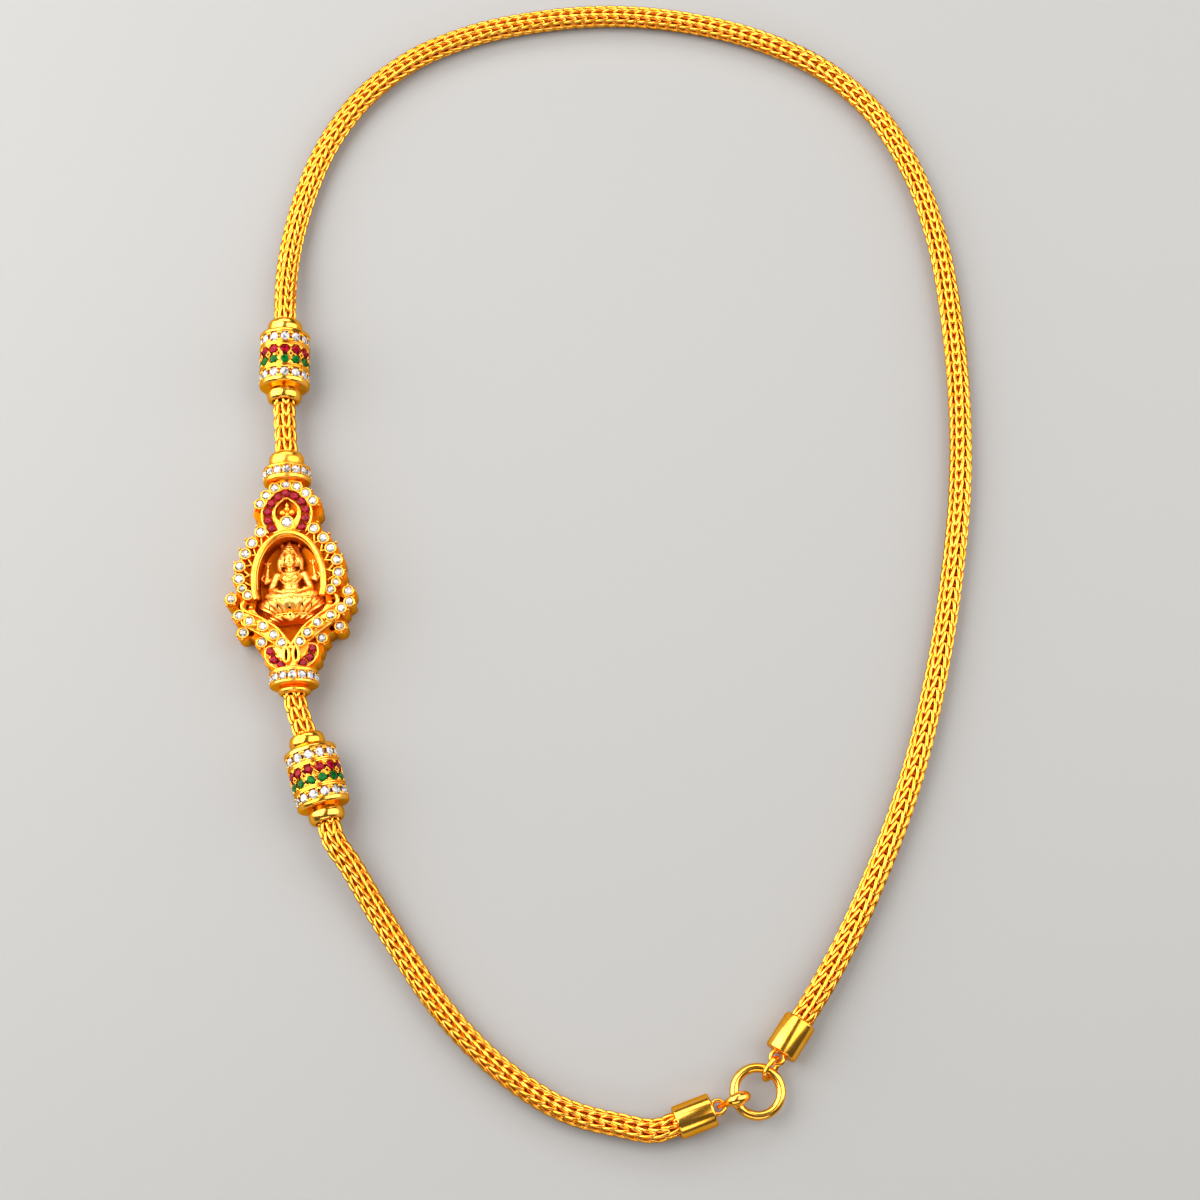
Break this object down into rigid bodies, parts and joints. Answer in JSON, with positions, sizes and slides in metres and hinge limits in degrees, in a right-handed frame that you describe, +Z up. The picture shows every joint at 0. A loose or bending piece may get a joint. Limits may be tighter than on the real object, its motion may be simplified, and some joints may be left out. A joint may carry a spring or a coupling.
{
  "type": "thali necklace",
  "caption": "Gold rope-chain necklace with stone-set barrel beads, an oval shrine pendant of a seated goddess set in line, and a hook and ring clasp, lying flat.",
  "frame": {"origin": "centre of the necklace's outline, on the surface that it lies on", "axes": "+Z up from the surface, +Y along the necklace from its clasp end towards the far end of the loop, +X towards the side of the loop across from the pendant"},
  "size_m": [0.1486, 0.2376, 0.0102],
  "materials": {
    "gold": "polished",
    "ruby": "polished",
    "emerald": "polished",
    "white_stone": "polished"
  },
  "bodies": {
    "root": {"chain_long": "gold", "chain_upper_short": "gold", "chain_lower_short": "gold", "chain_tail": "gold", "upper_barrel": "gold", "upper_barrel_top_whites": "white_stone", "upper_barrel_rubies": "ruby", "upper_barrel_emeralds": "emerald", "upper_barrel_bottom_whites": "white_stone", "lower_barrel": "gold", "lower_barrel_top_whites": "white_stone", "lower_barrel_rubies": "ruby", "lower_barrel_emeralds": "emerald", "lower_barrel_bottom_whites": "white_stone", "pendant_body": "gold", "seated_figure": "gold", "lotus_seat": "gold", "upper_collar_whites": "white_stone", "lower_collar_whites": "white_stone", "crown_whites": "white_stone", "crown_rubies": "ruby", "crown_centre_stone": "white_stone", "left_frame_whites": "white_stone", "right_frame_whites": "white_stone", "band_whites": "white_stone", "base_rubies": "ruby", "right_end_cap": "gold", "left_end_cap": "gold", "ring_link": "gold", "clasp_ring": "gold", "clasp_hook": "gold"}
  },
  "joints": []
}
